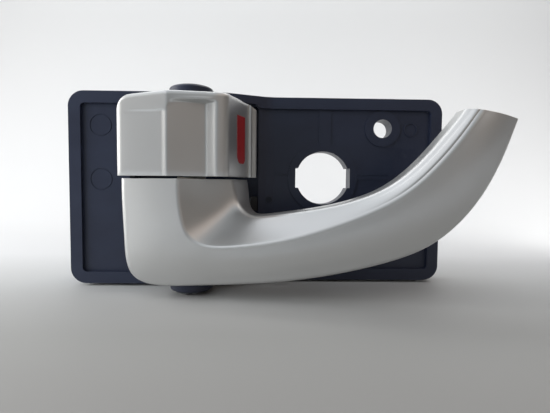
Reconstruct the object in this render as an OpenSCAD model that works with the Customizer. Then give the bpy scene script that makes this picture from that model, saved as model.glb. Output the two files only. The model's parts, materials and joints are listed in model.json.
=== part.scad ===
// Inner door handle of a car: a pull lever and a lock knob that turn on one upright pin,
// held by a moulded housing. +Z is up and the front faces -Y. The origin is the centre
// of the trim boss bore on the housing's front floor.

/* [Housing] */
// Width of the housing panel
panel_w = 137; // [135:1:139]
// Height of the housing panel
panel_h = 69; // [69:1:71]
// How far the left zone stands forward of the right zone
step_depth = 7; // [6.5:0.5:7]
// Wall thickness of the moulding
wall = 2.2; // [2:0.1:2.4]
// Width of the raised rim
rim_w = 4.2; // [3.8:0.1:4.5]
// Height of the rim above the floor
rim_h = 1.5; // [1:0.1:1.8]
// How far the skirt reaches behind the right floor
skirt_depth = 9; // [8:0.5:10]
// Radius of the panel's corners
corner_r = 5.5; // [4:0.5:7]

/* [Bosses] */
// Radius of the trim boss bore
boss_bore_r = 10.1; // [9.9:0.1:10.3]
// Radius of the panel screw hole
screw_hole_r = 3.5; // [3.2:0.1:3.8]
// Depth of both bosses behind the floor
boss_depth = 7; // [6:0.5:8]

/* [Pivot] */
// Radius of the pivot pin
pin_r = 2; // [1.8:0.1:2.2]
// Radial running clearance of the hubs on the pin
running_gap = 0.06; // [0.04:0.01:0.08]
// Length of the rearward arms, pin to cable eye
arm_len = 22; // [21:0.5:22]

/* [Lever] */
// Wall thickness of the lever's front shell
shell_t = 2.2; // [2:0.1:2.4]
// Rounding of the shell's outer and inner edges
edge_round = 2.2; // [1.5:0.1:2.5]
// Rounding of the crease along the arm
crease_round = 1; // [0.6:0.1:1.2]
// Opening angle at which the open stop is met
lever_open_angle = 40; // [38:1:40]

/* [Lock knob] */
// Height of the lock knob
knob_h = 26.4; // [26:0.1:26.4]
// Wall thickness of the knob's cap
cap_t = 2; // [1.8:0.1:2.2]
// Angle between unlocked and locked
lock_angle = 16; // [14:1:16]

/* [Hidden] */
$fn = 64;
eps = 0.01;

// Panel edges, in the frame of the trim boss bore
panel_right = 45;
panel_top = 30;
panel_left = panel_right - panel_w;
panel_bottom = panel_top - panel_h;
ramp_x0 = -37;
ramp_x1 = -22;
ramp_x2 = -18.5;
ramp_foot = 0.6;
skirt_t = 2;

// Pivot axis and the stack of parts along the pin
pin_x = -47;
pin_y = -16;
ear_r = 7.25;
ear_top_z = 26.8;
ear_bottom_z = -36;
ear_t = 2;
dome_h = 1.3;
pin_head_r = 2.75;
pin_head_t = 0.7;
pin_head_z = ear_top_z + ear_t + dome_h - pin_head_t;
pin_z0 = ear_bottom_z - ear_t - dome_h - 0.7;
washer_t = 0.7;
stack_gap = 0.05;
knob_z0 = -0.2;
knob_z1 = knob_z0 + knob_h;
knob_barrel_z1 = ear_top_z - washer_t - 2 * stack_gap;
lever_z1 = -1;
lever_barrel_z0 = ear_bottom_z + washer_t + 2 * stack_gap;
hub_bore_r = pin_r + running_gap;

// Window in the panel that the two hubs stand in
win_x0 = -71;
win_x1 = -24.6;
win_z0 = -35.2;
win_z1 = 27;
well_t = 1.8;
well_rear = 2;
bridge_y = 3;
bridge_z0 = -3.6;
bridge_z1 = 8;
shield_x0 = -31.2;
shield_y = 7;
shield_t = 1.5;

// Heights of the two rearward arms, and the cable lines above and behind them
latch_z = -10;
lock_z = 13;
cable_rise = 3.6;
cable_y = pin_y + arm_len;
cable_bore_r = 1.25;
saddle_x0 = -86;
saddle_len = 4;
saddle_r = 3;
eye_r = 3;
eye_wall_r = eye_r + 2;
arm_t = 3;
arm_half = 2.5;

// Rubber stops and the lugs behind them
stop_gap = 0.1;
lug_h = 5.4;
rest_lug = 18.6;
locked_lug = 14.6;

// Coil of the return spring
barrel_r = 5;
coil_r = 6.2;
wire_r = 0.75;
coil_z0 = -30;
coil_z1 = -19;

// Lever rails, hub end first: outer edge, crease and inner edge of the front face
rail_outer = [
  [-68.5, -24, -1], [-68.5, -24, -8], [-67.8, -24, -21], [-67.2, -24.5, -32.5],
  [-59, -25.5, -36.2], [-45.5, -28, -35.2], [-29.5, -30, -34.3], [-15.5, -32, -33],
  [-0.5, -33.5, -30.4], [14.5, -35, -26.6], [28, -35.5, -21.8], [37.5, -36, -13.6],
  [44.3, -36.5, -4.2], [49.3, -36.5, 6.2], [52.7, -37, 17.3]
];
rail_crease = [
  [-49, -29.5, -1], [-49, -29.5, -7.5], [-47.8, -30, -14.8], [-46, -30, -19.2],
  [-41.2, -31, -22.2], [-34, -31.7, -22.2], [-23.7, -33, -21.1], [-13.2, -34.5, -19],
  [-1.5, -36, -15.1], [10, -37.2, -10.5], [19.8, -38, -5.1], [27.5, -38.5, 2],
  [33.8, -38.9, 9.6], [38.2, -39, 15.8], [41, -38.5, 19.6]
];
rail_inner = [
  [-33, -17.4, -1], [-32.5, -17.2, -4], [-31.7, -17, -7.2], [-30.4, -18, -10.2],
  [-27, -22, -12.8], [-23, -25, -12.8], [-17, -27.2, -11.8], [-10, -29.2, -10.7],
  [-1, -31.2, -9], [8, -32.8, -6.4], [16.4, -34, -2.6], [24.6, -35, 4.6],
  [31, -35.5, 12.4], [34.8, -36, 17.2], [36.8, -36.3, 20.2]
];
// Depth of the walls' rear edges and the flare of the hub's right wall, per rail point
rear_outer_y = [
  -16, -16, -16, -18, -22, -22.5, -22, -22.8, -24.5, -26.5, -27.5, -28.5, -29, -29.5, -30
];
rear_inner_y = [
  -8, -8, -8.5, -10, -13, -16.5, -19.5, -22, -24.5, -26.5, -27.5, -28.5, -29, -29.5, -30
];
rear_flare = [4.5, 4.5, 4, 3, 1.5, 0.5, 0, 0, 0, 0, 0, 0, 0, 0, 0];
// Crown of the front face and hollow of the scoop, per rail point
front_crown = [0.3, 0.3, 0.4, 0.5, 0.6, 0.7, 0.8, 0.8, 0.8, 0.8, 0.8, 0.8, 0.8, 0.8, 0.6];
scoop_crown = [0, -0.3, -0.9, -1.5, -1.6, -1.2, -0.7, -0.3, 0, 0.3, 0.5, 0.6, 0.6, 0.5, 0.4];
rail_end = len(rail_outer) - 1;
stations = 34;
cover_u0 = 5.2;
cover_u1 = 13.2;
cover_t = 1.8;
cover_gap = 0.12;
screw_us = [6.4, 8.4, 10.4];
screw_head_r = 2.3;
screw_r = 1.1;

// Lock knob plan, front side from left to right
knob_left = -69.5;
knob_rear_y = -10;
knob_front_y = -25.2;
knob_edge_r = 2.4;
crest_x = -52.3;
crest_y = -29.5;
valley_x = -40.8;
valley_y = -25;
ridge_x0 = -37.4;
ridge_y0 = -27.5;
ridge_x1 = -34;
ridge_y1 = -26.5;
side_x = -27.9;
side_y = -10;
skirt_x = -25.2;
skirt_y = -4;
pocket_top = 24.4;
side_angle = atan2(side_y - ridge_y1, side_x - ridge_x1);
mark_from = 7.6;
mark_len = 6.4;
mark_z0 = 4.3;
mark_z1 = 20.4;
mark_depth = 0.8;
mark_t = 0.6;
cam_z0 = 16.5;
cam_z1 = 21.5;
cam_r = 8;
knob_screw_x = -60;
knob_screw_z = 12.6;

// ---- curve helpers ----

// One value of a clamped uniform B-spline through a list of points or numbers
function ends(p) = concat([2 * p[0] - p[1]], p, [2 * p[len(p) - 1] - p[len(p) - 2]]);
function basis(a, b, c, d, t) =
  (pow(1 - t, 3) * a + (3 * t * t * t - 6 * t * t + 4) * b
  + (-3 * t * t * t + 3 * t * t + 3 * t + 1) * c + t * t * t * d) / 6;
function span(p, i, t) = basis(p[i], p[i + 1], p[i + 2], p[i + 3], t);
function spline(p, u) = span(ends(p), min(floor(u), len(p) - 2), u - min(floor(u), len(p) - 2));

function unit(v) = v / norm(v);
function flat_dir(a, b) = unit([b.x - a.x, 0, b.z - a.z]);
function bend(a, b, c, t) = (1 - t) * (1 - t) * a + 2 * t * (1 - t) * b + t * t * c;
// Rounded corner at b between a and c, starting r away from b
function corner(a, b, c, r, n) =
  [for (k = [0:n]) bend(b + r * unit(a - b), b, b + r * unit(c - b), k / n)];
// Points strictly between a and b that bulge forward by h
function bulge(a, b, h, n) =
  [for (k = [1:n]) let (t = k / (n + 1)) a + t * (b - a) - [0, 4 * h * t * (1 - t), 0]];

// Closing of the shell's cavity towards the tip, 0 open and 1 closed
function tip_fill(u) = max(0, min(1, (u - 13.1) / 0.6));

// Section of the shell at u, from its outer rear edge round the front to its inner rear edge
function profile(ro, b, c, i, ri, e, q, fc, sc) =
  let (
    cb = corner(ro, b, c, e, 3),
    cc = corner(b, c, i, q, 4),
    ci = corner(c, i, ri, e * 0.7, 3)
  )
  concat([ro], cb, bulge(cb[3], cc[0], fc, 3), cc, bulge(cc[4], ci[0], sc, 3), ci, [ri]);

function outer_section(u) =
  let (
    b = spline(rail_outer, u),
    c = spline(rail_crease, u),
    i = spline(rail_inner, u)
  )
  profile(
    [b.x, spline(rear_outer_y, u), b.z], b, c, i,
    [i.x + spline(rear_flare, u), spline(rear_inner_y, u), i.z],
    edge_round, crease_round, spline(front_crown, u), spline(scoop_crown, u)
  );

function inner_section(u) =
  let (
    b = spline(rail_outer, u),
    c = spline(rail_crease, u),
    i = spline(rail_inner, u),
    ro = spline(rear_outer_y, u),
    ri = spline(rear_inner_y, u),
    f = tip_fill(u),
    ob = shell_t * flat_dir(b, c),
    oi = shell_t * flat_dir(i, c),
    by = (1 - f) * (b.y + shell_t) + f * (ro - 0.3),
    cy = (1 - f) * (c.y + shell_t) + f * ((ro + ri) / 2 - 0.3),
    iy = (1 - f) * (i.y + shell_t) + f * (ri - 0.3)
  )
  profile(
    [b.x, ro, b.z] + ob, [b.x, by, b.z] + ob, [c.x, cy, c.z], [i.x, iy, i.z] + oi,
    [i.x + spline(rear_flare, u), ri, i.z] + oi, 0.2, 0.6, 0, 0
  );

// Closed skin between equal loops that double back halfway, with a strip over each end
module loft(rings) {
  n = len(rings[0]);
  m = len(rings);
  start_faces = [
    for (k = [0:n / 2 - 2]) each [[k, n - 1 - k, k + 1], [k + 1, n - 1 - k, n - 2 - k]]
  ];
  end_faces = [for (f = start_faces) [for (k = [0, 2, 1]) f[k] + (m - 1) * n]];
  sides = [
    for (j = [0:m - 2], k = [0:n - 1])
      let (a = j * n + k, b = j * n + (k + 1) % n)
      each [[a, b, b + n], [a, b + n, a + n]]
  ];
  polyhedron(points = [for (r = rings) each r], faces = concat(sides, start_faces, end_faces));
}

// ---- shared shapes ----

module rounded_rect(x0, z0, x1, z1, r) {
  translate([x0 + r, z0]) square([x1 - x0 - 2 * r, z1 - z0]);
  translate([x0, z0 + r]) square([x1 - x0, z1 - z0 - 2 * r]);
  for (x = [x0 + r, x1 - r], z = [z0 + r, z1 - r]) translate([x, z]) circle(r);
}

// Prism of the child outline (drawn in X and Z) from y0 to y1
module prism(y0, y1) {
  translate([0, y1, 0]) rotate([90, 0, 0]) linear_extrude(y1 - y0) children();
}

module panel_outline(inset) {
  rounded_rect(
    panel_left + inset, panel_bottom + inset, panel_right - inset, panel_top - inset,
    max(corner_r - inset, 1.5)
  );
}

// The stepped panel face, raised by front, down to a straight back or one that follows it
module stepped(front, back, follow) {
  x0 = panel_left - 1;
  x1 = panel_right + 1;
  step = follow ? -step_depth : 0;
  translate([0, 0, -60]) linear_extrude(120) polygon([
    [x0, -step_depth - front], [ramp_x0, -step_depth - front], [ramp_x1, -ramp_foot - front],
    [ramp_x2, -front], [x1, -front], [x1, back], [ramp_x2, back],
    [ramp_x1, back - (follow ? ramp_foot : 0)], [ramp_x0, back + step], [x0, back + step]
  ]);
}

// Round bar along Y from y0 to y1
module y_rod(x, z, r, y0, y1) {
  translate([x, y1, z]) rotate([90, 0, 0]) cylinder(r = r, h = y1 - y0);
}

module on_pin(z) {
  translate([pin_x, pin_y, z]) children();
}

// Cross cut into a screw head from the rear, its floor at y
module cross_recess(x, y, z) {
  for (a = [0, 90]) translate([x, y, z]) rotate([0, a, 0]) translate([-1.5, 0, -0.3]) cube([3, 1, 0.6]);
}

// ---- housing ----

module ear(z) {
  translate([0, 0, z]) linear_extrude(ear_t) {
    translate([pin_x, pin_y]) circle(ear_r);
    translate([pin_x - ear_r, pin_y]) square([2 * ear_r, -step_depth + 1 - pin_y]);
  }
}

// Dome over an ear, with a flat of radius flat_r
module dome(flat_r) {
  rotate_extrude() polygon([
    [0, -eps], [ear_r, -eps], [ear_r - 0.2, 0.35], [ear_r - 0.8, 0.7],
    [(ear_r + flat_r) / 2, dome_h - 0.25], [flat_r, dome_h], [0, dome_h]
  ]);
}

module saddle(z) {
  difference() {
    translate([saddle_x0, -step_depth + wall - eps, z - 5])
      cube([saddle_len, cable_y + 1.6 + step_depth - wall, 10]);
    translate([saddle_x0 - 1, cable_y, z]) rotate([0, 90, 0]) cylinder(r = saddle_r, h = saddle_len + 2);
    translate([saddle_x0 - 1, cable_y, z - 2.75]) cube([saddle_len + 2, 6, 5.5]);
  }
}

module rear_ribs() {
  rib = 1.2;
  top = boss_depth - 1;
  for (x = [-18, 13.4, 30]) translate([x, wall - eps, panel_bottom + skirt_t - eps])
    cube([rib, top - wall, panel_h - 2 * skirt_t + 2 * eps]);
  for (z = [-26, 19]) translate([win_x1 + well_t, wall - eps, z])
    cube([panel_right - win_x1 - well_t - skirt_t + eps, top - wall, rib]);
  translate([panel_left + skirt_t - eps, -step_depth + wall - eps, 1])
    cube([win_x0 - well_t - panel_left - skirt_t + eps, 4, rib]);
}

module front_details() {
  // Collar round the trim boss bore and pad round the screw hole
  y_rod(0, 0, 13.3, -0.5, boss_depth);
  y_rod(22.7, 19, 6.8, -0.5, boss_depth);
  // Ribs moulded on the floor
  translate([13, -0.6, 1.2]) cube([28.5, 0.6 + eps, 0.6]);
  translate([13, -0.35, -0.5]) cube([28.5, 0.35 + eps, 3.6]);
  translate([-1.6, -0.3, 13]) cube([4.6, 0.3 + eps, 13]);
  translate([-17.5, -0.4, 1.3]) cube([4.5, 0.4 + eps, 0.5]);
  // Ring mark
  difference() {
    y_rod(33.5, 18.8, 2.7, -0.3, eps);
    y_rod(33.5, 18.8, 2.2, -0.5, 0);
  }
}

module window_outline() {
  rounded_rect(win_x0, win_z0, win_x1, win_z1, 1.2);
}

// Lugs on the left wall of the well that carry the rubber stops
module stop_lugs() {
  color([0.05, 0.06, 0.09]) {
    translate([win_x0, -1.5, latch_z - 4]) cube([rest_lug, 3.1, lug_h]);
    translate([win_x0, -4.6, lock_z - 4]) cube([locked_lug, 4, lug_h]);
    translate([win_x0, -6, 3]) cube([4.5, 4, 5]);
  }
}

// Walls of the well behind the panel, between the upper and the lower skirt
module hub_well() {
  inner_h = panel_h - 2 * skirt_t;
  outer_x0 = win_x0 - well_t;
  outer_w = win_x1 - win_x0 + 2 * well_t;
  color([0.05, 0.06, 0.09]) {
    intersection() {
      stepped(-wall, well_rear, false);
      prism(-20, 20) difference() {
        translate([outer_x0, panel_bottom + skirt_t]) square([outer_w, inner_h]);
        window_outline();
      }
    }
    // Bridge across the rear between the two arms, and its left post
    translate([outer_x0, bridge_y, bridge_z0]) cube([outer_w, shield_t, bridge_z1 - bridge_z0]);
    translate([outer_x0, 0, bridge_z0]) cube([well_t, bridge_y + shield_t, bridge_z1 - bridge_z0]);
    // Shield behind the gap at the right of the hubs
    translate([win_x1, well_rear - eps, panel_bottom + skirt_t])
      cube([well_t, shield_y + shield_t - well_rear + eps, inner_h]);
    translate([shield_x0, shield_y, panel_bottom + skirt_t])
      cube([win_x1 + well_t - shield_x0, shield_t, inner_h]);
  }
}

module housing() {
  color([0.05, 0.06, 0.09]) difference() {
    union() {
      // Floor
      intersection() {
        stepped(0, wall, true);
        prism(-20, 20) panel_outline(0);
      }
      // Rim and skirt
      intersection() {
        stepped(rim_h, wall, true);
        prism(-20, 20) difference() { panel_outline(0); panel_outline(rim_w); }
      }
      intersection() {
        stepped(0, skirt_depth, false);
        prism(-20, 20) difference() { panel_outline(0); panel_outline(skirt_t); }
      }
      ear(ear_top_z);
      ear(ear_bottom_z - ear_t);
      on_pin(ear_top_z + ear_t) dome(3.4);
      on_pin(ear_bottom_z - ear_t) mirror([0, 0, 1]) dome(4.6);
      front_details();
      rear_ribs();
      saddle(latch_z + cable_rise);
      saddle(lock_z + cable_rise);
    }
    // Hub window through the panel
    prism(-20, 20) window_outline();
    // Pin bores through both ears, and the seat of the pin's head
    on_pin(-50) cylinder(r = pin_r + 0.02, h = 100);
    on_pin(pin_head_z - 0.02) cylinder(r = pin_head_r + 0.02, h = 5);
    // Trim boss bore with its two key notches
    y_rod(0, 0, boss_bore_r, -10, 30);
    translate([-10.45, -10, -3.8]) cube([20.9, 40, 7.6]);
    y_rod(22.7, 19, screw_hole_r, -10, 30);
    // Small blind hole beside the window, and moulding marks on the left floor
    y_rod(-20.6, -8.6, 1.2, -10, 1);
    for (z = [-1.2, 18.1]) difference() {
      y_rod(-81, z, 4, -step_depth - 0.3, -step_depth + 0.2);
      y_rod(-81, z, 3.6, -step_depth - 1, -step_depth + 1);
    }
    // Ways through the skirt for the two cables
    for (z = [latch_z + cable_rise, lock_z + cable_rise]) translate([panel_left - 1, cable_y, z]) {
      rotate([0, 90, 0]) cylinder(r = 4.2, h = 5);
      translate([0, 0, -4.2]) cube([5, 8, 8.4]);
    }
  }
}

module foam_edge_strips() {
  t = 1.6;
  y0 = skirt_depth + 0.02;
  color([0.12, 0.12, 0.13]) {
    for (z = [panel_bottom + 0.2, panel_top - 2.2])
      translate([panel_left + 8, y0, z]) cube([panel_w - 16, t, 2]);
    translate([panel_right - 2.2, y0, panel_bottom + 8]) cube([2, t, panel_h - 16]);
  }
}

// ---- pivot ----

module pivot_pin() {
  color([0.7, 0.7, 0.72]) {
    on_pin(pin_z0) cylinder(r = pin_r, h = pin_head_z + pin_head_t / 2 - pin_z0);
    on_pin(pin_head_z) cylinder(r = pin_head_r, h = pin_head_t);
  }
}

module pin_retaining_ring() {
  z = ear_bottom_z - ear_t - dome_h - 0.02;
  color([0.45, 0.45, 0.47]) on_pin(z - 0.6) difference() {
    cylinder(r = 4.2, h = 0.6);
    translate([0, 0, -1]) cylinder(r = pin_r + 0.01, h = 3);
    translate([-0.9, -6, -1]) cube([1.8, 6, 3]);
  }
}

module spacer_washers() {
  levels = [
    ear_bottom_z + stack_gap, lever_z1 + stack_gap, ear_top_z - washer_t - stack_gap
  ];
  color([0.86, 0.84, 0.78]) for (z = levels) on_pin(z) difference() {
    cylinder(r = 4.8, h = washer_t);
    translate([0, 0, -1]) cylinder(r = pin_r + 0.05, h = 3);
  }
}

module lever_return_spring() {
  inner = coil_r - wire_r;
  color([0.6, 0.6, 0.62]) {
    on_pin(coil_z0) difference() {
      cylinder(r = coil_r + wire_r, h = coil_z1 - coil_z0);
      translate([0, 0, -1]) cylinder(r = inner, h = 20);
    }
    // Fixed leg at the bottom, driven leg at the top
    on_pin(coil_z0 + wire_r)
      translate([coil_r, -1, 0]) rotate([-90, 0, 0]) cylinder(r = wire_r, h = 15);
    on_pin(coil_z1 - wire_r)
      translate([coil_r, -4.5, 0]) rotate([-90, 0, 0]) cylinder(r = wire_r, h = 4.5);
  }
}

module lock_detent_spring() {
  t = 0.6;
  y0 = pin_y + cam_r + 0.35;
  color([0.62, 0.62, 0.64]) translate([0, 0, cam_z0 + 0.5]) linear_extrude(4) polygon([
    [win_x0 + 0.1, y0 + 1], [-58, y0 + 1], [-49, y0 + 0.8], [-47, y0],
    [-45, y0 + 0.8], [-40, y0 + 1.4], [-40, y0 + 1.4 + t], [-45.3, y0 + 0.8 + t],
    [-47, y0 + t], [-48.7, y0 + 0.8 + t], [-58, y0 + 1 + t], [win_x0 + 0.1, y0 + 1 + t]
  ]);
}

// ---- stops ----

module lever_rest_stop() {
  x0 = win_x0 + rest_lug + stop_gap;
  color([0.08, 0.08, 0.08]) translate([x0, -1.5, latch_z - 4])
    cube([pin_x - arm_half - stop_gap - x0, 3, lug_h]);
}

// The eye of the lever's rear arm meets this block when the lever is fully open
module lever_open_stop() {
  eye_x = pin_x + arm_len * sin(lever_open_angle) + eye_wall_r;
  color([0.08, 0.08, 0.08]) translate([eye_x + 3 * stop_gap, -1.4, latch_z - 2.7])
    cube([win_x1 - eye_x - 4 * stop_gap, 4, 5.4]);
}

module lock_stop_pads() {
  color([0.1, 0.1, 0.1]) {
    // Unlocked: under the rear edge of the knob's left wall
    translate([knob_left - 0.8, knob_rear_y + stop_gap, 3])
      cube([3.2, -6 - stop_gap - knob_rear_y - stop_gap, 5]);
    // Locked: beside the rear arm
    on_pin(lock_z - 2.6) rotate(lock_angle) translate([-arm_half - 2.3, 12.4, 0]) cube([2.1, 3.6, 4]);
  }
}

// ---- lever ----

module lever_front_shell() {
  us = [for (j = [0:stations]) rail_end * j / stations];
  n = len(outer_section(0));
  rings = [for (u = us) concat(outer_section(u), [for (k = [n - 1:-1:0]) inner_section(u)[k]])];
  color([0.72, 0.72, 0.71]) loft(rings);
}

// Middle of the shell's open back at u
function back_mid(u) =
  let (b = spline(rail_outer, u), i = spline(rail_inner, u))
  [(b.x + i.x) / 2, (spline(rear_outer_y, u) + spline(rear_inner_y, u)) / 2, (b.z + i.z) / 2];

module lever_back_cover() {
  steps = 22;
  crown = 1;
  inset = shell_t + cover_gap;
  function ring(u) =
    let (
      b = spline(rail_outer, u),
      c = spline(rail_crease, u),
      i = spline(rail_inner, u),
      p = [b.x, spline(rear_outer_y, u), b.z] + inset * flat_dir(b, c),
      q = [i.x, spline(rear_inner_y, u), i.z] + inset * flat_dir(i, c),
      front = [0, -cover_t, 0]
    )
    concat(
      [for (k = [0:6]) p + k / 6 * (q - p) + front],
      [for (k = [6:-1:0]) let (t = k / 6) p + t * (q - p) + [0, 4 * crown * t * (1 - t), 0]]
    );
  color([0.13, 0.13, 0.14]) difference() {
    loft([for (j = [0:steps]) ring(cover_u0 + (cover_u1 - cover_u0) * j / steps)]);
    for (u = screw_us) let (m = back_mid(u)) {
      y_rod(m.x, m.z, screw_head_r + 0.15, m.y - 0.3, m.y + 5);
      y_rod(m.x, m.z, screw_r + 0.15, m.y - 8, m.y + 5);
    }
  }
}

module lever_screws() {
  color([0.6, 0.6, 0.62]) for (u = screw_us) let (m = back_mid(u)) difference() {
    union() {
      y_rod(m.x, m.z, screw_head_r, m.y - 0.28, m.y + 0.9);
      y_rod(m.x, m.z, screw_r, m.y - 5.6, m.y);
    }
    cross_recess(m.x, m.y + 0.5, m.z);
  }
}

// Rearward arm with a cable eye at its end, drawn at rest
module cable_arm(z) {
  on_pin(z) linear_extrude(arm_t) difference() {
    union() {
      translate([-arm_half, 0]) square([2 * arm_half, arm_len]);
      translate([0, arm_len]) circle(eye_wall_r);
    }
    translate([0, arm_len]) circle(eye_r);
  }
}

module lever_core() {
  // Web inside the hub, reaching left to x
  module web(z, x, y_left, y_mid) {
    translate([0, 0, z]) linear_extrude(1.8) polygon([
      [x, -16], [x, y_left], [-51, y_mid], [-41, -18.6], [-41, -12], [-52, -12]
    ]);
  }
  color([0.1, 0.1, 0.11]) difference() {
    union() {
      on_pin(lever_barrel_z0) cylinder(r = barrel_r, h = lever_z1 - lever_barrel_z0);
      web(-3.4, -64.5, -20, -25);
      web(-15, -63.5, -20, -25);
      web(-32.6, -54, -21, -24.5);
      // Upright web in front of the barrel, and the tie to it
      translate([-60, -22.6, -31]) cube([15.5, 2, 29.4]);
      translate([-50.5, -25, -29]) cube([2, 6, 27.4]);
      // Spine that follows the arm
      translate([-30, -25.7, 0]) rotate(-5.5) prism(-1.1, 1.1) polygon([
        [-21, -32], [8, -29.8], [30, -26.4], [44, -22], [51, -17.5], [47, -11.5], [38, -14.5],
        [28, -17.5], [16, -19.8], [4, -21.2], [-6, -22.5], [-21, -22.5]
      ]);
      cable_arm(latch_z - arm_t / 2);
    }
    on_pin(-50) cylinder(r = hub_bore_r, h = 60);
    // Room for the coil
    on_pin(coil_z0 - 1) difference() {
      cylinder(r = coil_r + wire_r + 0.6, h = coil_z1 - coil_z0 + 2);
      translate([0, 0, -1]) cylinder(r = barrel_r, h = 20);
    }
    for (u = screw_us) let (m = back_mid(u)) y_rod(m.x, m.z, screw_r + 0.1, m.y - 12, m.y + 2);
  }
}

// ---- lock knob ----

// Round of the knob's left edge as seen from above
function left_round(x0, y0) =
  [for (a = [0:15:75]) [x0 + knob_edge_r * (1 - cos(a)), y0 - knob_edge_r * sin(a)]];

// Plan of the knob's outside, with the ledge and the skirt at its right
module knob_plan() {
  polygon(concat(
    [[knob_left, knob_rear_y]],
    left_round(knob_left, knob_front_y + knob_edge_r),
    [
      [crest_x, crest_y], [ridge_x0, ridge_y0], [ridge_x1, ridge_y1], [side_x, side_y],
      [side_x + 1, side_y + 0.3], [skirt_x, skirt_y], [skirt_x - 1.5, skirt_y],
      [side_x - 0.9, side_y + 1.2], [side_x - 2.2, side_y + 0.2]
    ]
  ));
}

// Plan of the knob's cavity, open at the rear
module knob_cavity() {
  x0 = knob_left + cap_t;
  polygon(concat(
    [[x0, knob_rear_y + 1]],
    left_round(x0, knob_front_y + knob_edge_r + cap_t),
    [
      [crest_x, crest_y + cap_t], [crest_x + 2, crest_y + cap_t + 0.6],
      [valley_x - 0.4, valley_y + cap_t], [ridge_x0 + 0.4, ridge_y0 + cap_t + 1.6],
      [ridge_x1 - cap_t, ridge_y1 + cap_t + 1], [side_x - 2.2, side_y], [side_x - 2.2, knob_rear_y + 1]
    ]
  ));
}

// Front outline of the knob, with its rounded upper corners
module knob_outline() {
  r = 5;
  polygon(concat(
    [[-74, knob_z0], [-20, knob_z0], [-20, knob_z1 - 3.2]],
    [for (a = [0:15:90]) [-30.6 + 3.2 * cos(a) + 1.2, knob_z1 - 3.2 + 2.6 * sin(a)]],
    [[-36, knob_z1 - 0.2], [-44, knob_z1], [-56, knob_z1 - 0.3]],
    [for (a = [90:15:180]) [knob_left + r + r * cos(a), knob_z1 - r - 0.9 + r * sin(a)]],
    [[-74, knob_z1 - r - 0.9]]
  ));
}

// Places its children on the knob's right wall: +X down the wall, +Y into it
module on_side_wall() {
  translate([ridge_x1, ridge_y1, 0]) rotate(side_angle) children();
}

module lock_knob_cap() {
  color([0.72, 0.71, 0.69]) difference() {
    intersection() {
      translate([0, 0, knob_z0]) linear_extrude(knob_h) knob_plan();
      prism(-40, 10) knob_outline();
    }
    // Cavity, open at the rear and at the bottom, and the way for the barrel through the top
    translate([0, 0, knob_z0 - 1]) linear_extrude(knob_h - cap_t + 1) knob_cavity();
    on_pin(0) cylinder(r = 5.2, h = 60);
    // Pocket beside the crest
    translate([0, 0, knob_z0 - 1]) linear_extrude(pocket_top - knob_z0 + 1) polygon([
      [crest_x + 0.4, crest_y - 3], [crest_x + 0.4, crest_y + 0.1], [valley_x, valley_y],
      [ridge_x0, ridge_y0 - 0.2], [ridge_x0, crest_y - 3]
    ]);
    // Seat of the red mark
    on_side_wall() translate([mark_from - 0.08, -1, mark_z0 - 0.08])
      cube([mark_len + 0.16, mark_depth + 1, mark_z1 - mark_z0 + 0.16]);
  }
}

module red_lock_mark() {
  color([0.6, 0.05, 0.06]) on_side_wall() translate([mark_from, mark_depth - mark_t - 0.02, mark_z0])
    cube([mark_len, mark_t, mark_z1 - mark_z0]);
}

module lock_knob_core() {
  color([0.1, 0.1, 0.11]) difference() {
    union() {
      on_pin(knob_z0) cylinder(r = 4.5, h = knob_barrel_z1 - knob_z0);
      // Webs inside the cap
      for (z = [knob_z0 + 1, 10, 21.6]) translate([0, 0, z]) linear_extrude(1.6) polygon([
        [-65, -12], [-65, -21], [-53, -25.6], [-41, -21.6], [-37.4, -21.6], [-33.5, -12]
      ]);
      translate([-62, -21.5, knob_z0 + 1]) cube([4, 9.5, 22]);
      // Detent cam at the back of the barrel
      on_pin(cam_z0) intersection() {
        cylinder(r = cam_r, h = cam_z1 - cam_z0);
        translate([-8, 0, 0]) cube([16, 10, 6]);
      }
      cable_arm(lock_z - arm_t / 2);
    }
    on_pin(-50) cylinder(r = hub_bore_r, h = 100);
    // Two notches of the cam, unlocked and locked
    for (a = [0, -lock_angle])
      on_pin(cam_z0 - 1) rotate(a) translate([0, cam_r + 0.6, 0]) cylinder(r = 1.3, h = 8);
    y_rod(knob_screw_x, knob_screw_z, 1.25, -22, 0);
  }
}

module lock_knob_screw() {
  color([0.6, 0.6, 0.62]) difference() {
    union() {
      y_rod(knob_screw_x, knob_screw_z, 2.4, knob_rear_y - 1.98, knob_rear_y - 0.8);
      y_rod(knob_screw_x, knob_screw_z, 1.15, knob_rear_y - 10, knob_rear_y - 1.9);
    }
    cross_recess(knob_screw_x, knob_rear_y - 1.2, knob_screw_z);
  }
}

// ---- cable clips ----

// Swivel clip in an arm's eye: a flanged stud and a cap with a bore for the cable's end rod
module cable_clip(z) {
  gap = 0.06;
  cap_z = arm_t / 2 + 0.1;
  translate([pin_x, cable_y, z]) difference() {
    union() {
      translate([0, 0, -arm_t / 2 - 1.4]) cylinder(r = eye_r - gap, h = arm_t + 1.4 + 1.2);
      translate([0, 0, -arm_t / 2 - 1.4]) cylinder(r = eye_r + 0.9, h = 1.3);
      translate([0, 0, cap_z]) cylinder(r = eye_r + 1.2, h = 4);
      translate([-8.5, -1.9, cap_z]) cube([8.5, 3.8, 4]);
    }
    translate([-10, 0, cable_rise]) rotate([0, 90, 0]) cylinder(r = cable_bore_r, h = 11.5);
  }
}

module latch_cable_clip() { color([0.85, 0.83, 0.76]) cable_clip(latch_z); }
module lock_cable_clip() { color([0.85, 0.83, 0.76]) cable_clip(lock_z); }

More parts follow.
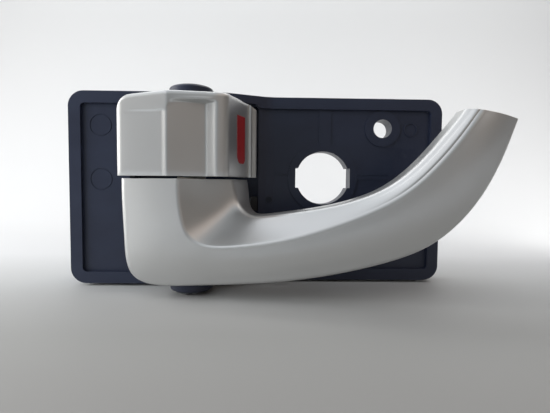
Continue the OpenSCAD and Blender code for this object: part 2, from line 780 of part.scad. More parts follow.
housing();
hub_well();
stop_lugs();
pivot_pin();
pin_retaining_ring();
spacer_washers();
lever_return_spring();
lock_detent_spring();
lever_rest_stop();
lever_open_stop();
lock_stop_pads();
foam_edge_strips();
lever_front_shell();
lever_core();
lever_back_cover();
lever_screws();
lock_knob_cap();
lock_knob_core();
red_lock_mark();
lock_knob_screw();
latch_cable_clip();
lock_cable_clip();
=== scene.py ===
import json
import math

import bpy
import numpy as np
from mathutils import Matrix, Vector


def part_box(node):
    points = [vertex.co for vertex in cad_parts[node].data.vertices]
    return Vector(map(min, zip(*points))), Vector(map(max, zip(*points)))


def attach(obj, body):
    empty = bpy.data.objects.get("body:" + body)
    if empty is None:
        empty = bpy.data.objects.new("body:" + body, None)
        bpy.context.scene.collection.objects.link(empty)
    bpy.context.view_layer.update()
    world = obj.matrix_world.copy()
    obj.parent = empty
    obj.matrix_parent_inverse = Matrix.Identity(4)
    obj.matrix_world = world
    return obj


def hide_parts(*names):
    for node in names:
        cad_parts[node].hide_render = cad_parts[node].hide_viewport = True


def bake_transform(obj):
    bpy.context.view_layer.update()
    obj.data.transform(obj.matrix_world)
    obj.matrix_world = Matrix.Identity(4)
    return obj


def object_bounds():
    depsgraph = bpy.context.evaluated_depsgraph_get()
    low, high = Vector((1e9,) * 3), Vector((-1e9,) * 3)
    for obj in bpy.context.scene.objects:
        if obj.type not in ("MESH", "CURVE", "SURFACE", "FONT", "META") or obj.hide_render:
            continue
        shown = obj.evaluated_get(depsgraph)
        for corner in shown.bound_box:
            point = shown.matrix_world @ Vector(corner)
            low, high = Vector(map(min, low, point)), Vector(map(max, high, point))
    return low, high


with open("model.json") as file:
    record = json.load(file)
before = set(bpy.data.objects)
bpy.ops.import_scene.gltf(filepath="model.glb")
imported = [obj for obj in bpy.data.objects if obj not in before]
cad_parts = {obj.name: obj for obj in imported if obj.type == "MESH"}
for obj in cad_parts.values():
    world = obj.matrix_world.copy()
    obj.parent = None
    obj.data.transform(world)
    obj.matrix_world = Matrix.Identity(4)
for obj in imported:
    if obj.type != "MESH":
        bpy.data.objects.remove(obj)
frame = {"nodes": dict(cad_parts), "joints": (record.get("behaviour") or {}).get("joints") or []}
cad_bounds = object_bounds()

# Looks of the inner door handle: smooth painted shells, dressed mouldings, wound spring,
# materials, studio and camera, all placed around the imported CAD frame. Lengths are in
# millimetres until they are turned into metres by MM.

MM = 0.001
NODES = frame["nodes"]
JOINTS = {j["name"]: j for j in frame["joints"]}
PIN = Vector(JOINTS["lever_pull"]["pos_m"])
SHARP_ANGLE = 38


# ---------------------------------------------------------------- meshes


def box_mm(node):
    """Lowest and highest corner of a CAD node, in millimetres."""
    return [tuple(v / MM for v in end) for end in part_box(node)]


def new_piece(name, points_mm, faces, material, node):
    """A mesh piece in the part's frame that stands in for a CAD node."""
    mesh = bpy.data.meshes.new(name)
    mesh.from_pydata([tuple(MM * float(c) for c in p) for p in points_mm], [], faces)
    mesh.validate()
    mesh.update()
    piece = bpy.data.objects.new(name, mesh)
    bpy.context.scene.collection.objects.link(piece)
    piece.data.materials.append(material)
    mesh.shade_smooth()
    mesh.set_sharp_from_angle(angle=math.radians(SHARP_ANGLE))
    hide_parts(node)
    return piece


def loft_faces(rows, cols, closed):
    """Quads over a grid of rows x cols points; closed joins the last column to the first."""
    last = cols if closed else cols - 1
    return [
        (j * cols + k, j * cols + (k + 1) % cols, (j + 1) * cols + (k + 1) % cols, (j + 1) * cols + k)
        for j in range(rows - 1)
        for k in range(last)
    ]


def add_bevel(piece, width_mm, segments=3, angle=35):
    """Rounds the edges that turn by more than angle degrees."""
    bevel = piece.modifiers.new("edge_round", "BEVEL")
    bevel.width = width_mm * MM
    bevel.segments = segments
    bevel.limit_method = "ANGLE"
    bevel.angle_limit = math.radians(angle)
    bevel.miter_outer = "MITER_ARC"
    bevel.use_clamp_overlap = True


def add_weighted_normals(piece):
    """Large faces shade flat, and rounds beside them stay smooth."""
    normals = piece.modifiers.new("even_shading", "WEIGHTED_NORMAL")
    normals.keep_sharp = True
    normals.weight = 80


def dress(node, material, round_mm, segments=3, angle=35):
    """A CAD node keeps its shape and gets rounded edges, even shading and a material."""
    piece = NODES[node]
    if "custom_normal" in piece.data.attributes:
        piece.data.attributes.remove(piece.data.attributes["custom_normal"])
    weld = piece.modifiers.new("weld", "WELD")
    weld.merge_threshold = 0.002 * MM
    flat = piece.modifiers.new("flat_faces", "DECIMATE")
    flat.decimate_type = "DISSOLVE"
    flat.angle_limit = math.radians(1.0)
    add_bevel(piece, round_mm, segments, angle)
    piece.data.shade_smooth()
    add_weighted_normals(piece)
    if not piece.data.materials:
        piece.data.materials.append(material)
    for slot in piece.material_slots:
        slot.material = material


# ---------------------------------------------------------------- curves

def spline(points, u):
    """Clamped uniform cubic B-spline through a list of points or numbers."""
    p = np.asarray(points, float)
    p = np.concatenate([[2 * p[0] - p[1]], p, [2 * p[-1] - p[-2]]])
    i = min(int(math.floor(u)), len(p) - 4)
    t = u - i
    w = np.array([
        (1 - t) ** 3,
        3 * t ** 3 - 6 * t ** 2 + 4,
        -3 * t ** 3 + 3 * t ** 2 + 3 * t + 1,
        t ** 3,
    ]) / 6
    return w @ p[i:i + 4]


def unit(v):
    """The vector at length 1."""
    return v / np.linalg.norm(v)


def corner(a, b, c, reach, n):
    """Rounded corner at b between a and c, starting reach away from b."""
    p = b + reach * unit(a - b)
    q = b + reach * unit(c - b)
    return [(1 - t) ** 2 * p + 2 * t * (1 - t) * b + t ** 2 * q for t in np.linspace(0, 1, n + 1)]


def bulge(a, b, height, n):
    """Points strictly between a and b that stand forward by height in the middle."""
    ts = np.linspace(0, 1, n + 2)[1:-1]
    return [a + t * (b - a) - np.array([0, 4 * height * t * (1 - t), 0]) for t in ts]


def ease(x):
    """Smooth step from 0 to 1."""
    x = min(max(x, 0.0), 1.0)
    return x * x * (3 - 2 * x)


# ---------------------------------------------------------------- materials

def set_stops(node, stops):
    """Gives a colour ramp node its (place, colour) stops."""
    elements = node.color_ramp.elements
    while len(elements) < len(stops):
        elements.new(0.5)
    for element, (place, colour) in zip(elements, stops):
        element.position = place
        element.color = (*colour, 1)


class Nodes:
    """A short way to write a node material."""

    def __init__(self, name):
        self.material = bpy.data.materials.new(name)
        self.material.use_nodes = True
        self.tree = self.material.node_tree
        self.shader = self.tree.nodes["Principled BSDF"]
        self.coords = self.tree.nodes.new("ShaderNodeTexCoord").outputs["Object"]

    def noise(self, scale, detail=3, roughness=0.5, stretch=None):
        node = self.tree.nodes.new("ShaderNodeTexNoise")
        node.inputs["Scale"].default_value = scale
        node.inputs["Detail"].default_value = detail
        node.inputs["Roughness"].default_value = roughness
        source = self.coords
        if stretch:
            mapping = self.tree.nodes.new("ShaderNodeMapping")
            mapping.inputs["Scale"].default_value = stretch
            self.tree.links.new(self.coords, mapping.inputs["Vector"])
            source = mapping.outputs["Vector"]
        self.tree.links.new(source, node.inputs["Vector"])
        return node.outputs["Fac"]

    def cells(self, scale):
        node = self.tree.nodes.new("ShaderNodeTexVoronoi")
        node.inputs["Scale"].default_value = scale
        self.tree.links.new(self.coords, node.inputs["Vector"])
        return node.outputs["Distance"]

    def ramp(self, source, stops):
        node = self.tree.nodes.new("ShaderNodeValToRGB")
        set_stops(node, stops)
        self.tree.links.new(source, node.inputs["Fac"])
        return node.outputs["Color"]

    def spread(self, source, low, high):
        node = self.tree.nodes.new("ShaderNodeMapRange")
        node.inputs["To Min"].default_value = low
        node.inputs["To Max"].default_value = high
        self.tree.links.new(source, node.inputs["Value"])
        return node.outputs["Result"]

    def set(self, **values):
        for socket, value in values.items():
            self.shader.inputs[socket.replace("_", " ")].default_value = value

    def feed(self, socket, source):
        self.tree.links.new(source, self.shader.inputs[socket])

    def bump(self, layers):
        """Bump from (height source, strength, distance in mm) layers, one on top of another."""
        below = None
        for source, strength, distance in layers:
            node = self.tree.nodes.new("ShaderNodeBump")
            node.inputs["Strength"].default_value = strength
            node.inputs["Distance"].default_value = distance * MM
            self.tree.links.new(source, node.inputs["Height"])
            if below:
                self.tree.links.new(below, node.inputs["Normal"])
            below = node.outputs["Normal"]
        self.feed("Normal", below)


def shade(colour, factor):
    """The colour, darker or lighter by a factor."""
    return tuple(factor * c for c in colour)


def silver_paint():
    m = Nodes("satin_silver_paint")
    base = (0.63, 0.635, 0.63)
    drift = m.noise(28, 2)
    m.feed("Base Color", m.ramp(drift, [(0.3, shade(base, 0.965)), (0.7, shade(base, 1.03))]))
    m.feed("Roughness", m.spread(m.noise(160, 4), 0.33, 0.39))
    m.set(Metallic=0.88, Coat_Weight=0.25, Coat_Roughness=0.3)
    flakes = m.cells(5200)
    orange_peel = m.noise(900, 2)
    m.bump([(orange_peel, 0.05, 0.05), (flakes, 0.05, 0.03)])
    return m.material


def grained_plastic(name, dark, light, rough, grain_mm=0.35, strength=0.18):
    """Moulded plastic: cloudy tone, fine spark grain and a slight flow pattern."""
    m = Nodes(name)
    cloud = m.noise(45, 4, 0.6, stretch=(1, 1, 1.6))
    m.feed("Base Color", m.ramp(cloud, [(0.3, dark), (0.72, light)]))
    m.feed("Roughness", m.spread(m.noise(220, 5), rough - 0.05, rough + 0.06))
    m.set(Specular_IOR_Level=0.5)
    grain = m.noise(1000 / grain_mm, 3, 0.6)
    m.bump([(m.noise(120, 3), 0.05, 0.2), (grain, strength, 0.05)])
    return m.material


def red_insert():
    m = Nodes("red_mark")
    cloud = m.noise(180, 3)
    m.feed("Base Color", m.ramp(cloud, [(0.3, (0.30, 0.012, 0.016)), (0.7, (0.38, 0.018, 0.022))]))
    m.feed("Roughness", m.spread(m.noise(400, 3), 0.34, 0.42))
    m.bump([(m.noise(1500, 2), 0.08, 0.03)])
    return m.material


def plated_steel(name, tone, rough, stretch=(1, 1, 9)):
    m = Nodes(name)
    brushed = m.noise(900, 4, 0.6, stretch=stretch)
    m.feed("Base Color", m.ramp(brushed, [(0.3, shade(tone, 0.85)), (0.7, shade(tone, 1.1))]))
    m.feed("Roughness", m.spread(brushed, rough - 0.06, rough + 0.08))
    m.set(Metallic=1.0)
    m.bump([(brushed, 0.12, 0.03)])
    return m.material


def natural_nylon():
    m = Nodes("natural_nylon")
    cloud = m.noise(150, 3)
    m.feed("Base Color", m.ramp(cloud, [(0.3, (0.66, 0.62, 0.52)), (0.7, (0.74, 0.71, 0.62))]))
    m.feed("Roughness", m.spread(m.noise(300, 3), 0.38, 0.48))
    m.set(Subsurface_Weight=0.15, Subsurface_Scale=0.002)
    m.bump([(m.noise(1600, 3), 0.08, 0.03)])
    return m.material


def soft_rubber():
    m = Nodes("stop_rubber")
    cloud = m.noise(200, 4)
    m.feed("Base Color", m.ramp(cloud, [(0.3, (0.012, 0.012, 0.013)), (0.7, (0.024, 0.024, 0.025))]))
    m.feed("Roughness", m.spread(m.noise(500, 3), 0.68, 0.82))
    m.bump([(m.noise(1800, 3), 0.2, 0.05)])
    return m.material


def cell_foam():
    m = Nodes("cell_foam")
    cells = m.cells(1100)
    m.feed("Base Color", m.ramp(cells, [(0.1, (0.045, 0.045, 0.048)), (0.6, (0.012, 0.012, 0.013))]))
    m.feed("Roughness", m.spread(m.noise(300, 3), 0.85, 0.97))
    m.bump([(cells, 0.9, 0.35), (m.noise(700, 4), 0.4, 0.2)])
    return m.material


SILVER = silver_paint()
NAVY = grained_plastic("navy_plastic", (0.016, 0.021, 0.042), (0.022, 0.029, 0.055), 0.38)
BLACK = grained_plastic("black_plastic", (0.010, 0.010, 0.011), (0.018, 0.018, 0.019), 0.5, 0.3, 0.25)
RED = red_insert()
STEEL = plated_steel("plated_steel", (0.62, 0.62, 0.63), 0.28)
DARK_STEEL = plated_steel("blackened_steel", (0.035, 0.036, 0.04), 0.4)
WIRE = plated_steel("spring_wire", (0.42, 0.42, 0.44), 0.32, (6, 6, 1))
NYLON = natural_nylon()
RUBBER = soft_rubber()
FOAM = cell_foam()


# ---------------------------------------------------------------- lever shell

WALL = 2.2
EDGE_ROUND = 2.2
CREASE_ROUND = 1.0
CAVITY_EDGE_ROUND = 0.2
CAVITY_CREASE_ROUND = 0.6
RAIL_OUTER = [
    (-68.5, -24, -1), (-68.5, -24, -8), (-67.8, -24, -21), (-67.2, -24.5, -32.5),
    (-59, -25.5, -36.2), (-45.5, -28, -35.2), (-29.5, -30, -34.3), (-15.5, -32, -33),
    (-0.5, -33.5, -30.4), (14.5, -35, -26.6), (28, -35.5, -21.8), (37.5, -36, -13.6),
    (44.3, -36.5, -4.2), (49.3, -36.5, 6.2), (52.7, -37, 17.3),
]
RAIL_CREASE = [
    (-49, -29.5, -1), (-49, -29.5, -7.5), (-47.8, -30, -14.8), (-46, -30, -19.2),
    (-41.2, -31, -22.2), (-34, -31.7, -22.2), (-23.7, -33, -21.1), (-13.2, -34.5, -19),
    (-1.5, -36, -15.1), (10, -37.2, -10.5), (19.8, -38, -5.1), (27.5, -38.5, 2),
    (33.8, -38.9, 9.6), (38.2, -39, 15.8), (41, -38.5, 19.6),
]
RAIL_INNER = [
    (-33, -17.4, -1), (-32.5, -17.2, -4), (-31.7, -17, -7.2), (-30.4, -18, -10.2),
    (-27, -22, -12.8), (-23, -25, -12.8), (-17, -27.2, -11.8), (-10, -29.2, -10.7),
    (-1, -31.2, -9), (8, -32.8, -6.4), (16.4, -34, -2.6), (24.6, -35, 4.6),
    (31, -35.5, 12.4), (34.8, -36, 17.2), (36.8, -36.3, 20.2),
]
REAR_OUTER_Y = [-16, -16, -16, -18, -22, -22.5, -22, -22.8, -24.5, -26.5, -27.5, -28.5, -29, -29.5, -30]
REAR_INNER_Y = [-8, -8, -8.5, -10, -13, -16.5, -19.5, -22, -24.5, -26.5, -27.5, -28.5, -29, -29.5, -30]
REAR_FLARE = [4.5, 4.5, 4, 3, 1.5, 0.5, 0, 0, 0, 0, 0, 0, 0, 0, 0]
FRONT_CROWN = [0.3, 0.3, 0.4, 0.5, 0.6, 0.7, 0.8, 0.8, 0.8, 0.8, 0.8, 0.8, 0.8, 0.8, 0.6]
SCOOP_CROWN = [0, -0.3, -0.9, -1.5, -1.6, -1.2, -0.7, -0.3, 0, 0.3, 0.5, 0.6, 0.6, 0.5, 0.4]
RAIL_END = len(RAIL_OUTER) - 1
SHELL_STATIONS = 150
SOLID_FROM = 13.1
SOLID_OVER = 0.6
SOLID_SETBACK = 0.3


def between(a, b, t):
    """From a at t = 0 to b at t = 1."""
    return (1 - t) * a + t * b


def flat_dir(a, b):
    """Direction from a to b as seen from the front."""
    return unit(np.array([b[0] - a[0], 0, b[2] - a[2]]))


def shell_profile(ro, b, c, i, ri, edge, crease, front, scoop):
    """From the outer rear edge over the outer edge b, the crease c and the inner edge i to the
    inner rear edge, with rounds edge and crease and crowns front and scoop."""
    cb = corner(ro, b, c, edge, 8)
    cc = corner(b, c, i, crease, 10)
    ci = corner(c, i, ri, edge * 0.7, 8)
    return [ro, *cb, *bulge(cb[-1], cc[0], front, 9), *cc, *bulge(cc[-1], ci[0], scoop, 9), *ci, ri]


def shell_section(u):
    """Closed section of the shell at u: round the outside, then back round the cavity."""
    b, c, i = (spline(rail, u) for rail in (RAIL_OUTER, RAIL_CREASE, RAIL_INNER))
    ro_y, ri_y, flare = (spline(row, u) for row in (REAR_OUTER_Y, REAR_INNER_Y, REAR_FLARE))
    ro = np.array([b[0], ro_y, b[2]])
    ri = np.array([i[0] + flare, ri_y, i[2]])
    outside = shell_profile(
        ro, b, c, i, ri, EDGE_ROUND, CREASE_ROUND, spline(FRONT_CROWN, u), spline(SCOOP_CROWN, u)
    )
    fill = min(max((u - SOLID_FROM) / SOLID_OVER, 0), 1)
    into_b = WALL * flat_dir(b, c)
    into_i = WALL * flat_dir(i, c)
    y_b = between(b[1] + WALL, ro_y - SOLID_SETBACK, fill)
    y_c = between(c[1] + WALL, (ro_y + ri_y) / 2 - SOLID_SETBACK, fill)
    y_i = between(i[1] + WALL, ri_y - SOLID_SETBACK, fill)
    inside = shell_profile(
        ro + into_b, np.array([b[0], y_b, b[2]]) + into_b, np.array([c[0], y_c, c[2]]),
        np.array([i[0], y_i, i[2]]) + into_i, ri + into_i,
        CAVITY_EDGE_ROUND, CAVITY_CREASE_ROUND, 0, 0
    )
    return outside + inside[::-1]


def lever_shell():
    """Hollow silver shell: sections along the rails, closed at both ends."""
    us = np.linspace(0, RAIL_END, SHELL_STATIONS)
    rings = [shell_section(u) for u in us]
    cols = len(rings[0])
    half = cols // 2
    faces = loft_faces(len(rings), cols, True)
    base = (len(rings) - 1) * cols
    for k in range(half - 1):
        faces.append((k, cols - 1 - k, cols - 2 - k, k + 1))
        faces.append((base + k, base + k + 1, base + cols - 2 - k, base + cols - 1 - k))
    points = [p for ring in rings for p in ring]
    piece = new_piece("lever_shell", points, faces, SILVER, "lever_front_shell")
    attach(piece, "lever")
    add_bevel(piece, 0.5, 3, 50)
    add_weighted_normals(piece)


# ---------------------------------------------------------------- lock knob

# Points of the knob's plan, in X and Y, and the depths of its edges
KNOB_LOW, KNOB_HIGH = box_mm("lock_knob_cap")
KNOB_LEFT = KNOB_LOW[0]
KNOB_BOTTOM = KNOB_LOW[2]
KNOB_TOP = KNOB_HIGH[2]
KNOB_REAR_Y = -10.0
KNOB_EDGE_Y = -25.2
SKIRT_FRONT_Y = -8.2
SKIRT_REAR_Y = -4.0
CREST = np.array([-52.3, -29.5])
VALLEY = np.array([-40.8, -25.0])
RIDGE_A = np.array([-37.4, -27.5])
RIDGE_B = np.array([-34.0, -26.5])
SIDE_END = np.array([-27.9, KNOB_REAR_Y])
LEDGE_STEP = np.array([0.85, -0.1])
SKIRT_STEP = np.array([0.25, 0.85])

# Pocket between crest and ridge, the bead beside the crest, and the top edge
POCKET_TOP = 23.4
POCKET_ROUND = 3.2
POCKET_RAMP = 1.0
RAMP_BELOW_TOP = 0.8
LIP_HEIGHT = 0.07
LIP_ABOVE_TOP = 0.45
LIP_SPREAD = 0.4
BEAD_W = 1.5
BEAD_H = 0.32
TOP_ROUND = 1.5
TOP_CORNER = 5.0
TOP_FALL = 0.9
TOP_FALL_X = -50
TOP_FALL_OVER = 19
SHOULDER_FALL = 2.4
SHOULDER_X = -31.5
SHOULDER_OVER = 6.3
CAP_WALL = 1.3


def knob_plan(open_pocket):
    """Plan of the knob's outer face from its left rear edge to its skirt, in X and Y.
    open_pocket runs from 0 (flat above the pocket) to 1 (the pocket and the bead beside it)."""
    rear_left = np.array([KNOB_LEFT, KNOB_REAR_Y])
    edge = np.array([KNOB_LEFT, KNOB_EDGE_Y])
    closed = CREST + (RIDGE_A - CREST) * (VALLEY[0] - CREST[0]) / (RIDGE_A[0] - CREST[0])
    valley = closed + open_pocket * (VALLEY - closed)
    bead = edge + (CREST - edge) * (CREST[0] - BEAD_W - edge[0]) / (CREST[0] - edge[0])
    bead = bead + open_pocket * np.array([0.0, BEAD_H])
    ledge = SIDE_END + LEDGE_STEP
    step = ledge + SKIRT_STEP
    skirt = np.array([KNOB_HIGH[0], SKIRT_FRONT_Y])
    skirt_end = np.array([KNOB_HIGH[0], SKIRT_REAR_Y])
    plan = [rear_left, *(rear_left + t * (edge - rear_left) for t in (0.3, 0.6))]
    plan += corner(rear_left, edge, bead, 2.6, 8)
    plan += [edge + t * (bead - edge) for t in np.linspace(0.25, 0.85, 7)]
    plan += corner(edge, bead, CREST, 0.5, 4)
    plan += corner(bead, CREST, valley, 0.55, 8)
    plan += [CREST + t * (valley - CREST) for t in np.linspace(0.12, 0.85, 12)]
    plan += corner(CREST, valley, RIDGE_A, 0.7, 6)
    plan += [valley + t * (RIDGE_A - valley) for t in (0.4, 0.6)]
    plan += corner(valley, RIDGE_A, RIDGE_B, 0.9, 8)
    plan += corner(RIDGE_A, RIDGE_B, SIDE_END, 2.0, 10)
    plan += [RIDGE_B + t * (SIDE_END - RIDGE_B) for t in np.linspace(0.17, 0.96, 14)]
    plan += corner(RIDGE_B, SIDE_END, ledge, 0.2, 3)
    plan += corner(SIDE_END, ledge, step, 0.2, 4)
    plan += corner(ledge, step, skirt, 0.25, 3)
    plan += corner(step, skirt, skirt_end, 0.5, 4)
    plan += [skirt + t * (skirt_end - skirt) for t in (0.5, 1.0)]
    return np.array(plan)


def knob_top(x):
    """Height of the knob's top edge at x: round at the left, falling away at the right."""
    z = KNOB_TOP - TOP_FALL * ease((TOP_FALL_X - x) / TOP_FALL_OVER)
    into_corner = KNOB_LEFT + TOP_CORNER - x
    if into_corner > 0:
        z -= TOP_CORNER - math.sqrt(max(TOP_CORNER ** 2 - into_corner ** 2, 0))
    if x > SHOULDER_X:
        z -= SHOULDER_FALL * ((x - SHOULDER_X) / SHOULDER_OVER) ** 2
    return z


def pocket_depth(x, z):
    """How deep the pocket is, 0 to 1: it ends below the top edge, round at its left corner,
    with a low lip above it."""
    near = max(POCKET_ROUND - (x - CREST[0]), 0)
    top = POCKET_TOP - POCKET_ROUND + math.sqrt(max(POCKET_ROUND ** 2 - near ** 2, 0))
    lip = LIP_HEIGHT * math.exp(-((z - top - LIP_ABOVE_TOP) / LIP_SPREAD) ** 2)
    return 1 - ease((z - top + RAMP_BELOW_TOP) / POCKET_RAMP) - lip


def knob_column(flat, full, along):
    """An upright line of the knob: up the front, over the rounded top edge, then to the rear.
    flat and full are its plan points without and with the pocket, along is the plan's direction."""
    x, y = flat
    top = knob_top(x)
    inward = min(TOP_ROUND / max(abs(along[0]), 0.08), max(KNOB_REAR_Y - y, 0.02))
    r = min(TOP_ROUND, inward)
    column = []
    for t in np.concatenate([np.linspace(0, 0.68, 10), np.linspace(0.7, 1, 44)]):
        z = KNOB_BOTTOM + t * (top - r - KNOB_BOTTOM)
        column.append((*(flat + pocket_depth(x, z) * (full - flat)), z))
    for a in np.linspace(0, math.pi / 2, 9)[1:]:
        column.append((x, y + inward * (1 - math.cos(a)), top - r + r * math.sin(a)))
    start_y = column[-1][1]
    for t in np.linspace(0.2, 1, 5):
        column.append((x, start_y + t * max(KNOB_REAR_Y - start_y, 0), top))
    return column


def knob_cap():
    """Silver cap of the lock knob: upright lines along its plan, thickened to a wall."""
    full = knob_plan(1)
    flat = knob_plan(0)
    last = len(full) - 1
    columns = []
    for k in range(last + 1):
        along = unit(full[min(k + 1, last)] - full[max(k - 1, 0)])
        columns.append(knob_column(flat[k], full[k], along))
    faces = [face[::-1] for face in loft_faces(len(columns), len(columns[0]), False)]
    points = [p for column in columns for p in column]
    piece = new_piece("knob_cap", points, faces, SILVER, "lock_knob_cap")
    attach(piece, "lock_knob")
    weld = piece.modifiers.new("weld", "WELD")
    weld.merge_threshold = 0.03 * MM
    wall = piece.modifiers.new("wall", "SOLIDIFY")
    wall.thickness = CAP_WALL * MM
    wall.offset = -1
    wall.use_even_offset = False
    add_bevel(piece, 0.3, 2, 55)


MARK_START = 7.6
MARK_LENGTH = 6.4
MARK_FRONT = 0.12
MARK_BACK = -0.5
MARK_LEFT_ROUND = 2.8
MARK_RIGHT_CUT = 1.2


def red_mark():
    """Insert on the knob's right wall: square at the top, its lower left corner round and its
    lower right one cut."""
    along = unit(SIDE_END - RIDGE_B)
    normal = np.array([along[1], -along[0]])
    low, high = box_mm("red_lock_mark")
    bottom, top = low[2], high[2]
    end = MARK_START + MARK_LENGTH
    r = MARK_LEFT_ROUND
    cut = MARK_RIGHT_CUT
    outline = [(MARK_START, top), (MARK_START, bottom + r)]
    outline += [
        (MARK_START + r - r * math.cos(a), bottom + r - r * math.sin(a))
        for a in np.linspace(0.25, 1.4, 7)
    ]
    outline += [(end - cut, bottom), (end, bottom + cut), (end, top)]
    points = [
        (*(RIDGE_B + s * along + d * normal), z) for d in (MARK_FRONT, MARK_BACK) for s, z in outline
    ]
    n = len(outline)
    faces = [tuple(range(n)), tuple(range(2 * n - 1, n - 1, -1))]
    faces += [(k, n + k, n + (k + 1) % n, (k + 1) % n) for k in range(n)]
    piece = new_piece("red_mark", points, faces, RED, "red_lock_mark")
    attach(piece, "lock_knob")
    add_bevel(piece, 0.12, 2, 40)


# ---------------------------------------------------------------- return spring

def swept_tube(path, radius, sides):
    """Points and faces of a tube round a path of points, with flat ends."""
    path = [np.asarray(p, float) for p in path]
    points, faces = [], []
    up = np.array([0.0, 0.0, 1.0])
    for k, p in enumerate(path):
        along = unit(path[min(k + 1, len(path) - 1)] - path[max(k - 1, 0)])
        side = unit(np.cross(along, up))
        lift = np.cross(side, along)
        for a in np.linspace(0, 2 * math.pi, sides, endpoint=False):
            points.append(p + radius * (math.cos(a) * side + math.sin(a) * lift))
    faces = loft_faces(len(path), sides, True)
    faces.append(tuple(range(sides))[::-1])
    faces.append(tuple(range((len(path) - 1) * sides, len(path) * sides)))
    return points, faces


WIRE_R = 0.75
COIL_R = 6.2
COIL_TURNS = 6
STEPS_PER_TURN = 40
SHORT_LEG = 4.4


def return_spring():
    """Torsion spring round the hub barrel: the long leg at the bottom presses on the panel,
    the short one at the top presses on the lever."""
    low, high = box_mm("lever_return_spring")
    bottom = low[2] + WIRE_R
    top = high[2] - WIRE_R
    rear = high[1]
    cx, cy = PIN.x / MM, PIN.y / MM
    leg_x = cx + COIL_R
    path = [(leg_x, y, bottom) for y in (rear, rear - 4, cy + 4, cy + 1)]
    steps = COIL_TURNS * STEPS_PER_TURN
    for k in range(steps + 1):
        a = -2 * math.pi * COIL_TURNS * k / steps
        z = bottom + (top - bottom) * k / steps
        path.append((cx + COIL_R * math.cos(a), cy + COIL_R * math.sin(a), z))
    path += [(leg_x, cy - 2, top), (leg_x, cy - SHORT_LEG, top)]
    points, faces = swept_tube(path, WIRE_R, 14)
    piece = new_piece("return_spring", points, faces, WIRE, "lever_return_spring")
    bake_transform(piece)


# ---------------------------------------------------------------- studio and camera

CAMERA_AT = Vector((-21.8, -153.5, -2.3))
CAMERA_YAW = 1.38
CAMERA_PITCH = 3.27
CAMERA_ROLL = 0.55
LENS = 26.18


def camera():
    """Lens, place and angles of a phone held close in front of the handle."""
    data = bpy.data.cameras.new("camera")
    data.sensor_width = 36
    data.lens = LENS
    data.clip_start = 0.01
    obj = bpy.data.objects.new("camera", data)
    bpy.context.scene.collection.objects.link(obj)
    yaw, pitch, roll = (math.radians(a) for a in (CAMERA_YAW, CAMERA_PITCH, CAMERA_ROLL))
    ahead = math.cos(pitch)
    forward = Vector((math.sin(yaw) * ahead, math.cos(yaw) * ahead, -math.sin(pitch)))
    level = Vector((math.cos(yaw), -math.sin(yaw), 0))
    above = level.cross(forward)
    right = level * math.cos(roll) + above * math.sin(roll)
    up = above * math.cos(roll) - level * math.sin(roll)
    turn = Matrix((right, up, -forward)).transposed().to_4x4()
    obj.matrix_world = Matrix.Translation(CAMERA_AT * MM) @ turn
    bpy.context.scene.camera = obj


def board_with_painted_shade():
    """Matt board with painted shade: darkest on the floor before and beside the handle, where shade
    falls, palest on the wall behind it, where more light falls.
    """
    m = Nodes("backdrop_painted_shade")
    split = m.tree.nodes.new("ShaderNodeSeparateXYZ")
    m.tree.links.new(m.coords, split.inputs["Vector"])
    depth = m.tree.nodes.new("ShaderNodeMapRange")
    depth.inputs["From Min"].default_value = -0.12
    depth.inputs["From Max"].default_value = 0.2
    m.tree.links.new(split.outputs["Y"], depth.inputs["Value"])
    # Painted shade: the floor's colour stands in for shadow and the lights' falloff. It is darkest just
    # before and beside the handle and grows paler towards the wall. The paler first stop, far in front,
    # is there for the lever to reflect.
    m.feed("Base Color", m.ramp(depth.outputs["Result"], [
        (0.0, (0.52, 0.54, 0.56)), (0.07, (0.30, 0.295, 0.285)), (0.2, (0.35, 0.35, 0.34)),
        (0.36, (0.50, 0.505, 0.50)), (0.55, (0.68, 0.685, 0.69)), (1.0, (0.75, 0.755, 0.76)),
    ]))
    m.feed("Roughness", m.spread(m.noise(6, 2), 0.6, 0.72))
    return m.material


FLOOR_HALF_WIDTH = 1100
FLOOR_FRONT = -420
WALL_Y = 420
SWEEP_R = 260
WALL_HEIGHT = 900


def backdrop(floor_z):
    """Seamless sweep: a pale floor that curves up into a wall, with the floor's shade and the lighter
    wall painted on by the board.
    """
    profile = [(FLOOR_FRONT, floor_z), (0, floor_z)]
    profile += [
        (WALL_Y - SWEEP_R + SWEEP_R * math.sin(a), floor_z + SWEEP_R * (1 - math.cos(a)))
        for a in np.linspace(0, math.pi / 2, 25)
    ]
    profile += [(WALL_Y, floor_z + WALL_HEIGHT)]
    points = [(x, y, z) for x in (-FLOOR_HALF_WIDTH, FLOOR_HALF_WIDTH) for y, z in profile]
    n = len(profile)
    faces = [(k, n + k, n + k + 1, k + 1) for k in range(n - 1)]
    mesh = bpy.data.meshes.new("backdrop")
    mesh.from_pydata([tuple(MM * c for c in p) for p in points], [], faces)
    mesh.update()
    mesh.shade_smooth()
    obj = bpy.data.objects.new("backdrop", mesh)
    bpy.context.scene.collection.objects.link(obj)
    obj.data.materials.append(board_with_painted_shade())


def area_light(name, place, target, size, power, colour):
    """Soft light at a place, turned to a target, with its size in millimetres and power in watts."""
    data = bpy.data.lights.new(name, "AREA")
    data.shape = "RECTANGLE"
    data.size, data.size_y = (s * MM for s in size)
    data.energy = power
    data.color = colour
    obj = bpy.data.objects.new(name, data)
    bpy.context.scene.collection.objects.link(obj)
    origin = Vector(place) * MM
    obj.location = origin
    obj.rotation_euler = (Vector(target) * MM - origin).to_track_quat("-Z", "Y").to_euler()
    return obj


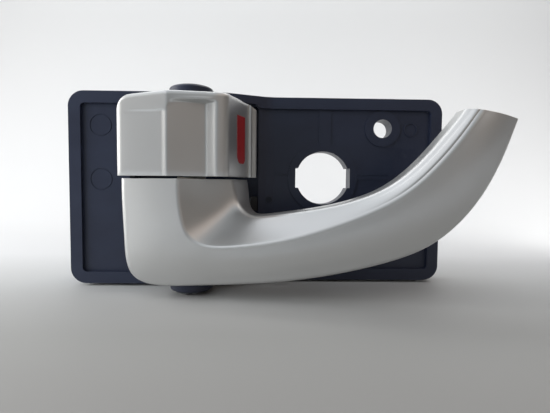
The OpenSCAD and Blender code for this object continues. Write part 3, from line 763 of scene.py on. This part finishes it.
def world_light():
    """A dim room: bright to the left and above, darker in front, brownish to the right."""
    world = bpy.data.worlds.new("studio")
    bpy.context.scene.world = world
    world.use_nodes = True
    tree = world.node_tree
    background = tree.nodes["Background"]
    coords = tree.nodes.new("ShaderNodeTexCoord").outputs["Generated"]
    split = tree.nodes.new("ShaderNodeSeparateXYZ")
    tree.links.new(coords, split.inputs["Vector"])
    side = direction_ramp(tree, split.outputs["X"], [
        (0.0, (2.4, 2.34, 2.28)), (0.14, (0.48, 0.48, 0.475)), (0.28, (0.90, 0.93, 0.96)),
        (0.42, (0.42, 0.45, 0.46)), (0.55, (0.32, 0.35, 0.36)), (0.72, (0.57, 0.49, 0.43)),
        (1.0, (0.22, 0.20, 0.18)),
    ])
    height = direction_ramp(tree, split.outputs["Z"], [
        (0.0, (0.5, 0.5, 0.5)), (0.44, (0.66, 0.66, 0.66)), (0.6, (0.92, 0.92, 0.92)),
        (0.82, (2.3, 2.3, 2.35)), (1.0, (2.5, 2.5, 2.6)),
    ])
    mix = tree.nodes.new("ShaderNodeMix")
    mix.data_type = "RGBA"
    mix.blend_type = "MULTIPLY"
    mix.inputs["Factor"].default_value = 1
    tree.links.new(side, mix.inputs["A"])
    tree.links.new(height, mix.inputs["B"])
    tree.links.new(mix.outputs["Result"], background.inputs["Color"])
    background.inputs["Strength"].default_value = 0.56


def direction_ramp(tree, source, stops):
    """Colours along one direction, from -1 at the first stop to 1 at the last."""
    spread = tree.nodes.new("ShaderNodeMapRange")
    spread.inputs["From Min"].default_value = -1
    tree.links.new(source, spread.inputs["Value"])
    ramp = tree.nodes.new("ShaderNodeValToRGB")
    tree.links.new(spread.outputs["Result"], ramp.inputs["Fac"])
    set_stops(ramp, stops)
    return ramp.outputs["Color"]


def studio():
    """Camera, sweep, room light and four soft lights. The haze lights paint without a reflection."""
    floor_z = cad_bounds[0][2] / MM
    camera()
    backdrop(floor_z)
    world_light()
    area_light("wall_wash", (-60, 250, 520), (-40, 420, 60), (1000, 200), 1.2, (0.98, 1.0, 1.0))
    area_light("window_right", (320, 60, 30), (300, 330, -30), (260, 100), 0.35, (1.0, 0.99, 0.97))
    area_light("window_left", (-560, 60, 160), (-80, 60, 0), (400, 400), 0.95, (1.0, 0.99, 0.97))
    fill = area_light("haze_left", (-340, -130, 40), (-85, 0, 0), (260, 260), 1.15, (0.95, 0.98, 1.0))
    fill.visible_glossy = False
    bpy.context.scene.view_settings.view_transform = "Standard"


# ---------------------------------------------------------------- the handle

lever_shell()
knob_cap()
red_mark()
return_spring()
dress("housing", NAVY, 0.5)
dress("hub_well", NAVY, 0.25)
dress("stop_lugs", NAVY, 0.25)
dress("lever_core", BLACK, 0.3)
dress("lever_back_cover", BLACK, 0.35, 3, 45)
dress("lock_knob_core", BLACK, 0.3)
dress("pivot_pin", DARK_STEEL, 0.25)
dress("pin_retaining_ring", WIRE, 0.1)
dress("spacer_washers", NYLON, 0.12)
dress("lock_detent_spring", WIRE, 0.08)
dress("lever_screws", STEEL, 0.15)
dress("lock_knob_screw", STEEL, 0.15)
dress("latch_cable_clip", NYLON, 0.25)
dress("lock_cable_clip", NYLON, 0.25)
dress("lever_rest_stop", RUBBER, 0.4)
dress("lever_open_stop", RUBBER, 0.4)
dress("lock_stop_pads", RUBBER, 0.3)
dress("foam_edge_strips", FOAM, 0.4)
studio()
